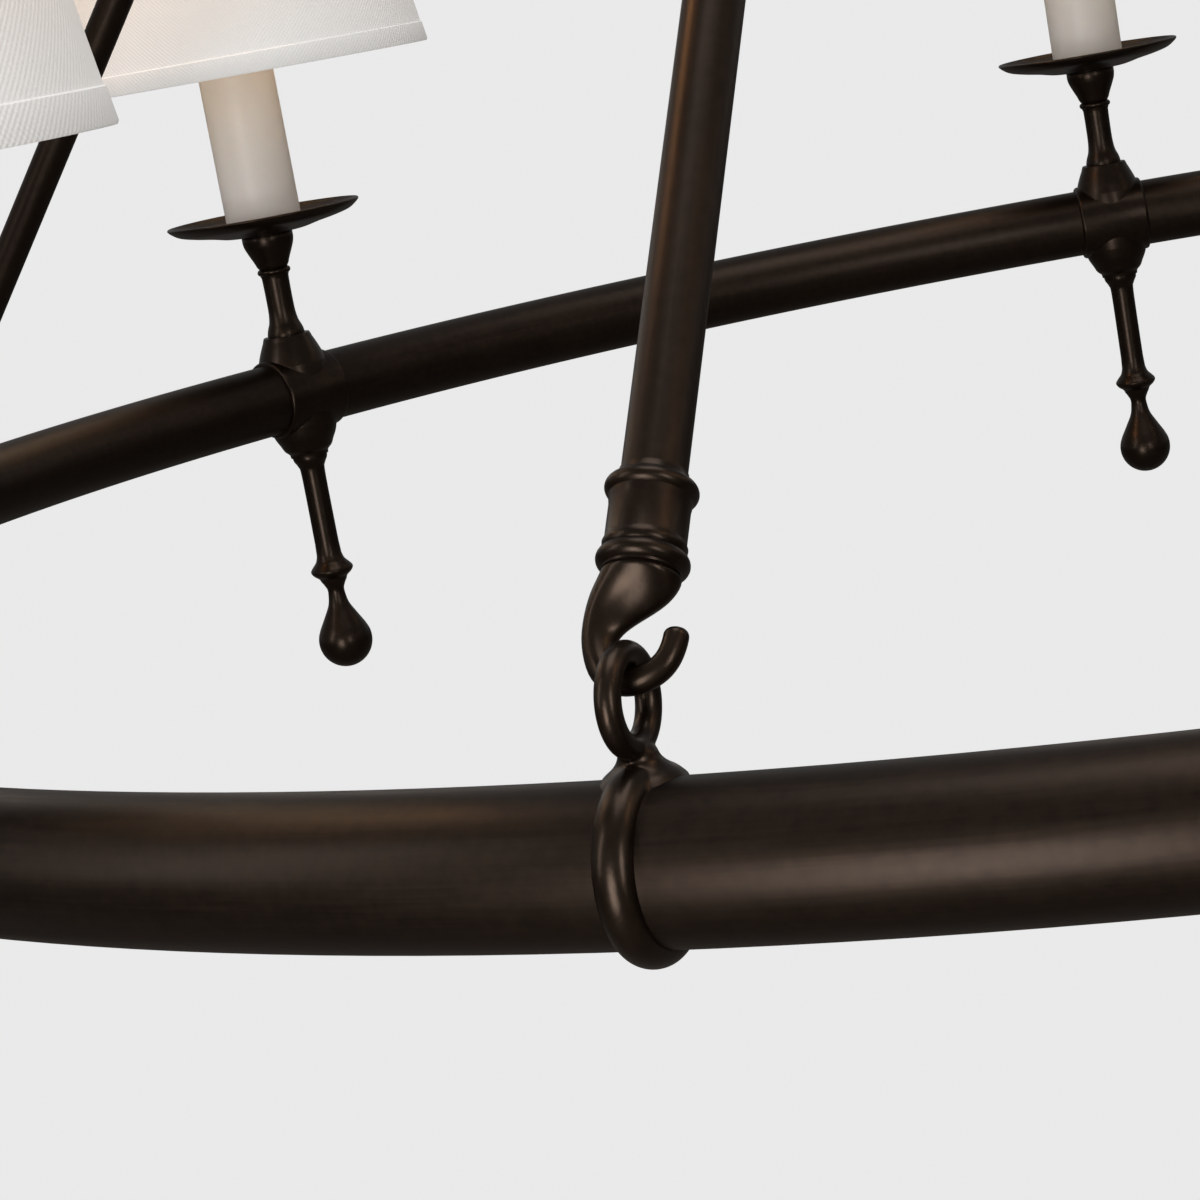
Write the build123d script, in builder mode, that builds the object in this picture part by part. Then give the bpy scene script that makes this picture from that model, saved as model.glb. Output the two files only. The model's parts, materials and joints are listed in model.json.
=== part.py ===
from build123d import *
import os
from math import atan, cos, degrees, hypot, radians, sin, sqrt

os.makedirs("parts", exist_ok=True)

# A ring chandelier. Origin: the middle of the canopy's rim, on the ceiling. +Z is up, so all of it
# hangs below zero. Lengths are in millimetres, angles in degrees.

# The ring and what stands on it
ring_radius = 444.5
tube_diameter = 25.4
tube_wall = 1.6
lamp_count = 8
lamp_first_angle = 22.5
rod_count = 4
rod_first_angle = 270.0
fixed_clearance = 0.05
running_clearance = 0.05
chain_clearance = 0.3

# The rods lean in to one point, the hub's centre
apex_height = 577.9
rod_diameter = 10.2
rod_wall = 1.2
rod_seat_depth = 11.5

# The turned ferrule at both ends of a rod
ferrule_length = 16.9
ferrule_radius = 6.25
ferrule_bead_radius = 7.1
ferrule_foot_radius = 6.1
ferrule_mouth_radius = 5.4
lower_bead_top = 4.0
lower_bead_middle = 2.0
cove_top = 5.3
upper_bead_start = 11.3
upper_bead_middle = 13.9

# The hook under the ferrule
hook_bowl_radius = 6.1
hook_bowl_inward = 3.06
hook_neck_length = 11.3
hook_bowl_offset = 0.3
hook_tip_angle = 6.0
hook_tip_radius = 1.92
hook_wire_radius = 2.25
hook_neck_radius = 2.75
neck_points = ((-5.1, 4.2), (-2.9, 7.6))
hook_root_depth = 2.2
hook_root_radius = 5.9

# The collar round the tube and its eyelet
collar_half_width = 3.1
collar_proud = 2.4
eyelet_radius = 6.9
eyelet_wire_radius = 2.0
eyelet_set_out = 0.86
eyelet_gap = 0.1
stem_rise = 2.27
stem_radius = 2.7
stem_flare_radius = 5.4

# The ceiling pieces
canopy_radius = 70.0
canopy_depth = 28.0
canopy_wall = 1.2
canopy_flat_radius = 24.0
canopy_edge_radius = 12.0
canopy_shoulder_inset = 24.0
canopy_shoulder_rise = 4.5
barrel_radius = 12.5
barrel_top = 16.0
barrel_length = 20.0
barrel_bore_depth = 14.0
canopy_hole_clearance = 0.7
collar_ring_radius = 19.5
collar_ring_height = 7.0
collar_ring_flutes = 24
flute_radius = 1.2
crossbar_length = 104.0
crossbar_width = 22.0
crossbar_thickness = 2.0
slot_spacing = 79.4
slot_length = 24.0
slot_width = 4.8
nipple_radius = 5.1
nipple_bore_radius = 3.2
locknut_width = 17.0
locknut_height = 3.0
wire_hole_radius = 3.0

# The chain
loop_radius = 9.25
loop_wire_radius = 3.0
link_count = 4
link_wire_radius = 2.75
link_half_width = 9.25
link_straight = 16.5

# The hub
hub_radius = 19.0
hub_socket_radius = 6.4
hub_socket_reach = 30.0
hub_top = 31.0
hub_neck_radius = 8.0
hub_bead_radius = 9.5
hub_throat_depth = 1.6
hub_throat_height = 21.0
hub_bead_edge = 0.6
hub_bead_bottom = 24.0
hub_bead_middle = 26.2
hub_bead_top = 28.4
hub_foot = 22.0
hub_foot_radius = 5.5
loop_stand = 6.0
loop_barrel_radius = 6.5
stud_radius = 4.0
stud_length = 9.0
hub_finial_radius = 6.5
hub_finial_drop = 12.5

# The lamp: the boss round the tube, what hangs under it and what stands on it
boss_sleeve_proud = 1.5
boss_sleeve_half_length = 13.0
boss_bore_clearance = 0.25
boss_rise = 9.1
boss_top_radius = 8.4
boss_drop = 10.3
boss_foot_radius = 6.9
boss_waist_radius = 12.6
column_height = 37.4
column_foot_radius = 6.7
column_shaft_radius = 4.8
column_head_radius = 9.3
pendant_length = 47.5
pendant_shaft_radius = 4.4
pendant_bead_radius = 7.8
pendant_bead_drop = 43.0
finial_neck_radius = 3.1
finial_ball_radius = 9.9
finial_ball_drop = 22.5
finial_shoulder_angle = 28.0
pendant_stud_radius = 3.0
pendant_stud_length = 8.0
finial_stud_radius = 2.0
stud_end_gap = 1.0
pan_radius = 35.0
pan_seat_radius = 14.5
pan_rise = 6.6
pan_wall = 1.2
nut_width = 14.0
nut_height = 4.0
lamp_nipple_radius = 4.0
lamp_nipple_bore_radius = 2.6
lamp_nipple_below = 1.3
lamp_nipple_grip = 7.6
sleeve_radius = 13.6
sleeve_wall = 1.6
sleeve_height = 85.0
holder_radius = 11.4
holder_post_radius = 6.6
holder_body_length = 32.0
holder_set_down = 0.8
cap_radius = 6.0
cap_length = 20.0
cap_tip_gap = 1.0
bulb_radius = 17.5
bulb_neck_radius = 8.5
bulb_length = 76.0
bulb_widest = 27.0
bulb_taper = 19.0
bulb_lift = 0.9

# The shade and its wire frame
shade_bottom_radius = 70.0
shade_top_radius = 52.0
shade_bottom_rise = 57.8
shade_height = 120.0
shade_wall = 0.8
frame_wire_radius = 1.1
frame_hanger_radius = 1.0
frame_ring_set = 2.5
frame_ring_gap = 0.1
clip_gap = 0.3
clip_plate_radius = 7.0
clip_plate_height = 1.6
clip_half_width = 11.0
clip_height = 42.0
clip_corner_radius = 8.0
clip_top_drop = 14.0

# What follows from the sizes above
tube_radius = tube_diameter / 2
rod_radius = rod_diameter / 2
link_length = link_straight + 2 * link_half_width
loop_centre_height = -barrel_top - barrel_length - loop_radius
first_hinge_height = loop_centre_height - loop_radius
loop_overlap = loop_wire_radius + link_wire_radius + chain_clearance
link_overlap = 2 * link_wire_radius + chain_clearance
link_tops = [first_hinge_height + loop_overlap]
for number in range(1, link_count):
    link_tops.append(link_tops[-1] - link_length + link_overlap)
last_hinge_height = link_tops[-1] - link_length
hub_loop_centre = last_hinge_height + loop_overlap - loop_radius
apex_z = hub_loop_centre - loop_radius - loop_stand - hub_top
ring_z = apex_z - apex_height
eyelet_inward = hook_bowl_inward - eyelet_set_out
eyelet_height = tube_radius + collar_proud + stem_rise + eyelet_radius
eyelet_slack = eyelet_radius - eyelet_wire_radius - hook_wire_radius - eyelet_gap
bowl_bottom = eyelet_height + sqrt(eyelet_slack**2 - eyelet_set_out**2)
rod_reach = ring_radius - hook_bowl_inward
rod_drop = apex_height - bowl_bottom
rod_lean = degrees(atan(rod_reach / rod_drop))
rod_line = hypot(rod_reach, rod_drop)
ferrule_start = hook_bowl_radius + hook_neck_length
lamp_angles = [lamp_first_angle + k * 360 / lamp_count for k in range(lamp_count)]
rod_angles = [rod_first_angle + k * 360 / rod_count for k in range(rod_count)]


def ring_point(angle, height=0.0):
    return (ring_radius * cos(radians(angle)), ring_radius * sin(radians(angle)), ring_z + height)


def rod_plane(angle):
    inward = (-cos(radians(angle)), -sin(radians(angle)))
    across = (-sin(radians(angle)), cos(radians(angle)), 0)
    lean = radians(rod_lean)
    along = (sin(lean) * inward[0], sin(lean) * inward[1], cos(lean))
    start = Vector(*ring_point(angle, bowl_bottom)) + Vector(*inward, 0) * hook_bowl_inward
    return Plane(origin=start, x_dir=across, z_dir=along)


def collar_plane(angle):
    across = (-sin(radians(angle)), cos(radians(angle)), 0)
    return Plane(origin=ring_point(angle), x_dir=across, z_dir=(0, 0, 1))


def lamp_plane(angle):
    outward = (cos(radians(angle)), sin(radians(angle)), 0)
    return Plane(origin=ring_point(angle), x_dir=outward, z_dir=(0, 0, 1))


rod_places = [Location(rod_plane(angle)) for angle in rod_angles]
collar_places = [Location(collar_plane(angle)) for angle in rod_angles]
lamp_places = [Location(lamp_plane(angle)) for angle in lamp_angles]
shade_places = [Location(ring_point(angle)) for angle in lamp_angles]


def write(piece, name):
    piece.part.label = name
    export_step(piece.part, f"parts/{name}.step")


def write_group(piece, places, name):
    with BuildPart() as group:
        with Locations(*places):
            add(piece.part)
    write(group, name)


def write_each(piece, places, name):
    for number, place in enumerate(places, 1):
        with BuildPart() as copy:
            with Locations(place):
                add(piece.part)
        write(copy, f"{name}_{number}")


# Ring tube: rolled and closed, with a hole right through it for each lamp's nipple
with BuildPart() as ring_tube:
    with BuildSketch(Plane.XZ):
        with Locations((ring_radius, ring_z)):
            Circle(tube_radius)
            Circle(tube_radius - tube_wall, mode=Mode.SUBTRACT)
    revolve(axis=Axis.Z)
    with Locations(*lamp_places):
        Cylinder(lamp_nipple_radius + fixed_clearance, 2 * tube_diameter, mode=Mode.SUBTRACT)
write(ring_tube, "ring_tube")

# Ferrule: foot at zero, a bead at each end, bored from the top for the rod
with BuildPart() as ferrule:
    with BuildSketch(Plane.XZ):
        with BuildLine():
            foot = Line((0, 0), (ferrule_foot_radius, 0))
            lower = ThreePointArc(
                foot @ 1,
                (ferrule_bead_radius, lower_bead_middle),
                (ferrule_radius + 0.25, lower_bead_top),
            )
            cove = Line(lower @ 1, (ferrule_radius, cove_top))
            body = Line(cove @ 1, (ferrule_radius, upper_bead_start))
            upper = ThreePointArc(
                body @ 1,
                (ferrule_bead_radius, upper_bead_middle),
                (ferrule_mouth_radius, ferrule_length),
            )
            mouth = Line(upper @ 1, (0, ferrule_length))
            Line(mouth @ 1, (0, 0))
        make_face()
    revolve(axis=Axis.Z)
    with Locations((0, 0, ferrule_length)):
        Cylinder(
            rod_radius + fixed_clearance,
            rod_seat_depth,
            align=(Align.CENTER, Align.CENTER, Align.MAX),
            mode=Mode.SUBTRACT,
        )

# Rod hook: the bowl of the hook runs from the blunt tip round under the eyelet, then the neck
# sweeps up and back to the middle of the ferrule and swells to its whole foot
bowl_middle = (hook_bowl_offset, hook_bowl_radius)
neck_bends = [(across, hook_bowl_radius + up) for across, up in neck_points]
hook_root = ferrule_start + hook_root_depth
with BuildLine(Plane.XZ) as hook_line:
    bowl = CenterArc(bowl_middle, hook_bowl_radius, hook_tip_angle, -180 - hook_tip_angle)
    neck = Spline(bowl @ 1, *neck_bends, (0, hook_root), tangents=[(0, 1), (0.1, 1)])
hook_sections = [
    (bowl, 0.0, hook_tip_radius, hook_tip_radius),
    (bowl, 0.2, 2.02, 2.02),
    (bowl, 0.4, 2.15, 2.15),
    (bowl, 0.55, hook_wire_radius, hook_wire_radius),
    (bowl, 0.7, 2.3, 2.3),
    (bowl, 0.85, 2.45, 2.4),
    (neck, 0.0, hook_neck_radius, 2.6),
    (neck, 0.3, 3.3, 3.1),
    (neck, 0.6, 4.3, 4.2),
    (neck, 0.8, 5.1, 5.0),
]
with BuildPart() as hook:
    for curve, share, half_width, half_depth in hook_sections:
        with BuildSketch(Plane(origin=curve @ share, x_dir=(0, 1, 0), z_dir=curve % share)):
            Ellipse(half_depth, half_width)
    with BuildSketch(Plane(origin=(0, 0, hook_root), x_dir=(0, 1, 0), z_dir=(0, 0, 1))):
        Circle(hook_root_radius)
    loft()
    with Locations(bowl @ 0):
        Sphere(hook_tip_radius)
    with Locations((0, 0, ferrule_start)):
        add(ferrule.part)
write_each(hook, rod_places, "rod_hook")

# Rod: a straight tube between the two ferrules
rod_start = ferrule_start + ferrule_length - rod_seat_depth
rod_end = rod_line - hub_socket_reach - ferrule_length + rod_seat_depth
with BuildPart() as rod:
    with Locations((0, 0, rod_start)):
        Cylinder(rod_radius, rod_end - rod_start, align=(Align.CENTER, Align.CENTER, Align.MIN))
        Cylinder(
            rod_radius - rod_wall,
            rod_end - rod_start,
            align=(Align.CENTER, Align.CENTER, Align.MIN),
            mode=Mode.SUBTRACT,
        )
write_each(rod, rod_places, "rod")

# Rod-top ferrule: the same turning, upside down against the hub's socket
with BuildPart() as rod_top:
    with Locations(Location((0, 0, rod_line - hub_socket_reach), (180, 0, 0))):
        add(ferrule.part)
write_group(rod_top, rod_places, "rod_top_ferrules")

# Eyelet collar: a half-round band round the tube, a flared stem and an upright eyelet
stem_foot = tube_radius - 1.0
flare_top = tube_radius + collar_proud + 2.2
with BuildPart() as eyelet_collar:
    with BuildSketch(Plane.XZ):
        with Locations((0, tube_radius)):
            Ellipse(collar_half_width, collar_proud)
    revolve(axis=Axis.X)
    with BuildSketch(Plane.XZ.offset(-eyelet_inward)):
        with BuildLine():
            base = Line((0, stem_foot), (stem_flare_radius, stem_foot))
            wall = Line(base @ 1, (stem_flare_radius, tube_radius))
            flare = ThreePointArc(
                wall @ 1,
                (stem_radius + 0.75, flare_top - 2.0),
                (stem_radius, flare_top),
            )
            shaft = Line(flare @ 1, (stem_radius + 0.3, eyelet_height - eyelet_radius + 1.0))
            top = Line(shaft @ 1, (0, eyelet_height - eyelet_radius + 1.0))
            Line(top @ 1, (0, stem_foot))
        make_face()
    revolve(axis=Axis((0, eyelet_inward, 0), (0, 0, 1)))
    with Locations(Location((0, eyelet_inward, eyelet_height), (0, 90, 0))):
        Torus(eyelet_radius, eyelet_wire_radius)
        Cylinder(eyelet_radius - eyelet_wire_radius, 4 * eyelet_wire_radius, mode=Mode.SUBTRACT)
    with Locations(Location((0, 0, 0), (0, 90, 0))):
        Cylinder(tube_radius + fixed_clearance, 8 * collar_half_width, mode=Mode.SUBTRACT)
write_each(eyelet_collar, collar_places, "eyelet_collar")

# Hub: a turned ball with four sockets for the rods, a hole on top for the loop's stud and one
# below for the finial's
hub_plane = Plane(origin=(0, 0, apex_z), z_dir=(0, 0, 1))
ball_at_foot = sqrt(hub_radius**2 - hub_foot_radius**2)
ball_at_neck = sqrt(hub_radius**2 - hub_neck_radius**2)
with BuildPart() as hub:
    with BuildSketch(Plane.XZ):
        with BuildLine():
            bottom = Line((0, -hub_foot), (hub_foot_radius, -hub_foot))
            collar = Line(bottom @ 1, (hub_foot_radius, -ball_at_foot))
            ball = ThreePointArc(collar @ 1, (hub_radius, 0), (hub_neck_radius, ball_at_neck))
            throat_radius = hub_neck_radius - hub_throat_depth
            bead_foot_radius = hub_neck_radius - hub_bead_edge
            throat = ThreePointArc(
                ball @ 1, (throat_radius, hub_throat_height), (bead_foot_radius, hub_bead_bottom)
            )
            bead = ThreePointArc(
                throat @ 1, (hub_bead_radius, hub_bead_middle), (bead_foot_radius, hub_bead_top)
            )
            seat = Line(bead @ 1, (loop_barrel_radius + 0.6, hub_top))
            flat = Line(seat @ 1, (0, hub_top))
            Line(flat @ 1, (0, -hub_foot))
        make_face()
    revolve(axis=Axis.Z)
    for angle in rod_angles:
        socket_plane = Plane(
            origin=(0, 0, 0),
            z_dir=-rod_plane(angle).z_dir,
            x_dir=rod_plane(angle).x_dir,
        )
        with BuildSketch(socket_plane):
            Circle(hub_socket_radius)
        extrude(amount=hub_socket_reach)
    with Locations((0, 0, hub_top)):
        Cylinder(
            stud_radius + fixed_clearance,
            stud_length + stud_end_gap,
            align=(Align.CENTER, Align.CENTER, Align.MAX),
            mode=Mode.SUBTRACT,
        )
    with Locations((0, 0, -hub_foot)):
        Cylinder(
            finial_stud_radius + fixed_clearance,
            pendant_stud_length + stud_end_gap,
            align=(Align.CENTER, Align.CENTER, Align.MIN),
            mode=Mode.SUBTRACT,
        )
write_group(hub, [Location(hub_plane)], "hub")

# Hub loop: a closed ring on a short barrel, with a stud into the hub
with BuildPart() as hub_loop:
    with Locations(Location((0, 0, hub_top + loop_stand + loop_radius), (0, 90, 0))):
        Torus(loop_radius, loop_wire_radius)
    with Locations((0, 0, hub_top)):
        Cylinder(
            loop_barrel_radius,
            loop_stand,
            align=(Align.CENTER, Align.CENTER, Align.MIN),
        )
        Cylinder(stud_radius, stud_length, align=(Align.CENTER, Align.CENTER, Align.MAX))
write_group(hub_loop, [Location(hub_plane)], "hub_loop")

# Hub finial: a small turned drop under the hub
with BuildPart() as hub_finial:
    with BuildSketch(Plane.XZ):
        with BuildLine():
            top = Line((0, 0), (hub_foot_radius, 0))
            rim = Line(top @ 1, (hub_foot_radius, -1.6))
            neck_line = ThreePointArc(rim @ 1, (3.2, -3.6), (3.6, -hub_finial_drop + 5.4))
            drop = ThreePointArc(
                neck_line @ 1,
                (hub_finial_radius, -hub_finial_drop),
                (1.8, -hub_finial_drop - 6.2),
            )
            tip = Line(drop @ 1, (0, -hub_finial_drop - 7.4))
            Line(tip @ 1, (0, 0))
        make_face()
    revolve(axis=Axis.Z)
    Cylinder(
        finial_stud_radius,
        pendant_stud_length,
        align=(Align.CENTER, Align.CENTER, Align.MIN),
    )
write_group(hub_finial, [Location((0, 0, apex_z - hub_foot))], "hub_finial")

# Canopy loop: threaded barrel bored for the ceiling nipple, a hole for the supply wires, a ring
with BuildPart() as canopy_loop:
    with Locations((0, 0, -barrel_top)):
        Cylinder(barrel_radius, barrel_length, align=(Align.CENTER, Align.CENTER, Align.MAX))
        Cylinder(
            nipple_radius + fixed_clearance,
            barrel_bore_depth,
            align=(Align.CENTER, Align.CENTER, Align.MAX),
            mode=Mode.SUBTRACT,
        )
    with Locations(Location((0, 0, loop_centre_height), (90, 0, 0))):
        Torus(loop_radius, loop_wire_radius)
    with Locations((0, barrel_radius - wire_hole_radius - 2.0, -barrel_top)):
        Cylinder(wire_hole_radius, 3 * barrel_length, mode=Mode.SUBTRACT)
write(canopy_loop, "canopy_loop")

# Ceiling nipple: hollow threaded rod from the crossbar into the barrel
nipple_length = barrel_top + barrel_bore_depth - stud_end_gap
with BuildPart() as ceiling_nipple:
    Cylinder(nipple_radius, nipple_length, align=(Align.CENTER, Align.CENTER, Align.MAX))
    Cylinder(
        nipple_bore_radius,
        nipple_length,
        align=(Align.CENTER, Align.CENTER, Align.MAX),
        mode=Mode.SUBTRACT,
    )
write(ceiling_nipple, "ceiling_nipple")

# Crossbar: a flat bar with two slots for the ceiling box's screws
with BuildPart() as crossbar:
    with BuildSketch():
        SlotOverall(crossbar_length, crossbar_width)
        Circle(nipple_radius + fixed_clearance, mode=Mode.SUBTRACT)
        with GridLocations(slot_spacing, 0, 2, 1):
            SlotOverall(slot_length, slot_width, mode=Mode.SUBTRACT)
    extrude(amount=-crossbar_thickness)
write(crossbar, "crossbar")

# Locknut under the crossbar
with BuildPart() as locknut:
    with BuildSketch(Plane.XY.offset(-crossbar_thickness)):
        RegularPolygon(locknut_width / 2, 6, major_radius=False)
        Circle(nipple_radius + fixed_clearance, mode=Mode.SUBTRACT)
    extrude(amount=-locknut_height)
write(locknut, "locknut")

# Canopy: a spun dome with its rim on the ceiling and a hole for the barrel
with BuildPart() as canopy:
    with BuildSketch(Plane.XZ):
        with BuildLine():
            hole_edge = barrel_radius + canopy_hole_clearance
            inner_shoulder = -canopy_depth + canopy_shoulder_rise + canopy_wall
            floor = Line((hole_edge, -canopy_depth), (canopy_flat_radius, -canopy_depth))
            ogee = Spline(
                floor @ 1,
                (canopy_radius - canopy_shoulder_inset, -canopy_depth + canopy_shoulder_rise),
                (canopy_radius - 3.5, -canopy_edge_radius),
                (canopy_radius, -2.0),
                tangents=[(1, 0), (0, 1)],
            )
            rim_line = Line(ogee @ 1, (canopy_radius, 0))
            lip = Line(rim_line @ 1, (canopy_radius - canopy_wall, 0))
            inner_rim = Line(lip @ 1, (canopy_radius - canopy_wall, -2.0))
            inner_ogee = Spline(
                inner_rim @ 1,
                (canopy_radius - 3.5 - canopy_wall, -canopy_edge_radius + 0.2),
                (canopy_radius - canopy_shoulder_inset - 0.2, inner_shoulder),
                (canopy_flat_radius, -canopy_depth + canopy_wall),
                tangents=[(0, -1), (-1, 0)],
            )
            inner_floor = Line(inner_ogee @ 1, (hole_edge, -canopy_depth + canopy_wall))
            Line(inner_floor @ 1, (hole_edge, -canopy_depth))
        make_face()
    revolve(axis=Axis.Z)
write(canopy, "canopy")

# Collar ring: screwed up the barrel under the canopy, fluted for the fingers
with BuildPart() as collar_ring:
    with BuildSketch(Plane.XY.offset(-canopy_depth)):
        Circle(collar_ring_radius)
        Circle(barrel_radius + running_clearance, mode=Mode.SUBTRACT)
        with PolarLocations(collar_ring_radius + 0.5, collar_ring_flutes):
            Circle(flute_radius, mode=Mode.SUBTRACT)
    extrude(amount=-collar_ring_height)
write(collar_ring, "collar_ring")

# Chain links: closed ovals of round wire, each turned a quarter from the one above
with BuildPart() as link:
    with BuildLine(Plane.XZ):
        side = Line((link_half_width, 0), (link_half_width, -link_straight))
        low = ThreePointArc(
            side @ 1,
            (0, -link_straight - link_half_width),
            (-link_half_width, -link_straight),
        )
        other = Line(low @ 1, (-link_half_width, 0))
        ThreePointArc(other @ 1, (0, link_half_width), side @ 0)
    with BuildSketch(Plane.XY.offset(0)):
        with Locations((link_half_width, 0)):
            Circle(link_wire_radius)
    sweep()
for number, top_height in enumerate(link_tops, 1):
    turn = 90 * (number % 2)
    place = Location((0, 0, top_height - link_half_width), (0, 0, turn))
    with BuildPart() as chain_link:
        with Locations(place):
            add(link.part)
    write(chain_link, f"chain_link_{number}")

# Cross boss: a short sleeve round the tube with a turned neck above and below
sleeve_outer = tube_radius + boss_sleeve_proud
boss_top = tube_radius + boss_rise
boss_foot = tube_radius + boss_drop
with BuildPart() as boss:
    with BuildSketch(Plane.YZ):
        with Locations((0, sleeve_outer / 2)):
            sleeve_outline = Rectangle(2 * boss_sleeve_half_length, sleeve_outer)
        fillet(sleeve_outline.vertices().group_by(Axis.Y)[-1], boss_sleeve_proud * 0.85)
    revolve(axis=Axis.Y)
    with BuildSketch(Plane.XZ):
        with BuildLine():
            low_flat = Line((0, -boss_foot), (boss_foot_radius, -boss_foot))
            low_cup = ThreePointArc(
                low_flat @ 1,
                (boss_waist_radius - 3.0, -boss_foot + 4.8),
                (boss_waist_radius, -tube_radius + 1.0),
            )
            waist = Line(low_cup @ 1, (boss_waist_radius, tube_radius - 1.0))
            bell = ThreePointArc(
                waist @ 1,
                (boss_waist_radius - 2.0, boss_top - 5.6),
                (boss_top_radius + 0.6, boss_top - 1.6),
            )
            edge = Line(bell @ 1, (boss_top_radius, boss_top))
            top_flat = Line(edge @ 1, (0, boss_top))
            Line(top_flat @ 1, (0, -boss_foot))
        make_face()
    revolve(axis=Axis.Z)
    with BuildSketch(Plane.XZ):
        Circle(tube_radius + boss_bore_clearance)
    extrude(amount=2 * boss_sleeve_half_length, both=True, mode=Mode.SUBTRACT)
    with Locations((0, 0, -tube_radius - lamp_nipple_below)):
        Cylinder(
            lamp_nipple_radius + fixed_clearance,
            boss_top + tube_radius + lamp_nipple_below,
            align=(Align.CENTER, Align.CENTER, Align.MIN),
            mode=Mode.SUBTRACT,
        )
    Cylinder(
        pendant_stud_radius + fixed_clearance,
        boss_foot,
        align=(Align.CENTER, Align.CENTER, Align.MAX),
        mode=Mode.SUBTRACT,
    )
write_group(boss, lamp_places, "tube_bosses")

# Lamp nipple: hollow threaded rod through boss, tube, column and drip pan
column_top = boss_top + column_height
pan_top = column_top + pan_wall
holder_foot = pan_top + nut_height
nipple_foot = -tube_radius - lamp_nipple_below
with BuildPart() as lamp_nipple:
    with BuildSketch(Plane.XY.offset(nipple_foot)):
        Circle(lamp_nipple_radius)
        Circle(lamp_nipple_bore_radius, mode=Mode.SUBTRACT)
    extrude(amount=holder_foot + lamp_nipple_grip - nipple_foot)
write_group(lamp_nipple, lamp_places, "lamp_nipples")

# Column: a turned stem from the boss up to the drip pan
with BuildPart() as column:
    with BuildSketch(Plane.XZ):
        with BuildLine():
            base = Line((0, boss_top), (column_foot_radius, boss_top))
            foot_edge = Line(base @ 1, (column_foot_radius - 0.3, boss_top + 2.4))
            foot_cove = ThreePointArc(
                foot_edge @ 1,
                (column_shaft_radius + 0.5, boss_top + 4.6),
                (column_shaft_radius, boss_top + 9.0),
            )
            stem_line = Line(foot_cove @ 1, (column_shaft_radius, column_top - 16.0))
            head_bead = ThreePointArc(
                stem_line @ 1,
                (column_shaft_radius + 1.1, column_top - 13.4),
                (column_shaft_radius + 1.2, column_top - 12.0),
            )
            head_cup = ThreePointArc(
                head_bead @ 1,
                (column_shaft_radius + 2.9, column_top - 7.4),
                (column_head_radius, column_top - 2.4),
            )
            head_edge = Line(head_cup @ 1, (column_head_radius, column_top))
            head_flat = Line(head_edge @ 1, (0, column_top))
            Line(head_flat @ 1, (0, boss_top))
        make_face()
    revolve(axis=Axis.Z)
    with Locations((0, 0, boss_top)):
        Cylinder(
            lamp_nipple_radius + fixed_clearance,
            column_top - boss_top,
            align=(Align.CENTER, Align.CENTER, Align.MIN),
            mode=Mode.SUBTRACT,
        )
write_group(column, lamp_places, "columns")

# Drip pan: a thin spun saucer with a flat seat and an upturned edge
with BuildPart() as pan:
    with BuildSketch(Plane.XZ):
        with BuildLine():
            start = (lamp_nipple_radius + fixed_clearance, column_top)
            seat_line = Line(start, (pan_seat_radius, column_top))
            under = Spline(
                seat_line @ 1,
                (pan_radius - 12.0, column_top + 2.0),
                (pan_radius - 4.0, column_top + 3.6),
                (pan_radius, column_top + pan_rise),
                tangents=[(1, 0), (0.45, 1)],
            )
            edge_line = ThreePointArc(
                under @ 1,
                (pan_radius - 0.3, column_top + pan_rise + 0.7),
                (pan_radius - 1.1, column_top + pan_rise + 0.6),
            )
            over = Spline(
                edge_line @ 1,
                (pan_radius - 4.8, column_top + 3.6 + pan_wall),
                (pan_radius - 12.2, column_top + 2.0 + pan_wall),
                (pan_seat_radius, pan_top),
                tangents=[(-0.45, -1), (-1, 0)],
            )
            inner_seat = Line(over @ 1, (lamp_nipple_radius + fixed_clearance, pan_top))
            Line(inner_seat @ 1, start)
        make_face()
    revolve(axis=Axis.Z)
write_group(pan, lamp_places, "drip_pans")

# Nut that clamps the pan and the column to the nipple
with BuildPart() as pan_nut:
    with BuildSketch(Plane.XY.offset(pan_top)):
        RegularPolygon(nut_width / 2, 6, major_radius=False)
        Circle(lamp_nipple_radius + fixed_clearance, mode=Mode.SUBTRACT)
    extrude(amount=nut_height)
write_group(pan_nut, lamp_places, "pan_nuts")

# Lampholder: a socket on a post that screws onto the nipple above the nut
sleeve_top = pan_top + sleeve_height
holder_top = sleeve_top - holder_set_down
cap_foot = sleeve_top + bulb_lift - cap_length
with BuildPart() as holder:
    with BuildSketch(Plane.XY.offset(holder_foot)):
        Circle(holder_post_radius)
    extrude(amount=holder_top - holder_body_length - holder_foot)
    with BuildSketch(Plane.XY.offset(holder_top - holder_body_length)):
        Circle(holder_radius)
    extrude(amount=holder_body_length)
    with BuildSketch(Plane.XY.offset(cap_foot - cap_tip_gap)):
        Circle(cap_radius + running_clearance)
    extrude(amount=holder_top - cap_foot + cap_tip_gap, mode=Mode.SUBTRACT)
    with BuildSketch(Plane.XY.offset(holder_foot)):
        Circle(lamp_nipple_radius + fixed_clearance)
    extrude(amount=lamp_nipple_grip + stud_end_gap, mode=Mode.SUBTRACT)
write_group(holder, lamp_places, "lampholders")

# Candle sleeve: a plain tube that stands in the pan round the lampholder
with BuildPart() as sleeve:
    with BuildSketch(Plane.XY.offset(pan_top)):
        Circle(sleeve_radius)
        Circle(sleeve_radius - sleeve_wall, mode=Mode.SUBTRACT)
    extrude(amount=sleeve_height)
    fillet(sleeve.edges().group_by(Axis.Z)[-1], sleeve_wall * 0.35)
write_group(sleeve, lamp_places, "candle_sleeves")

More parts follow.
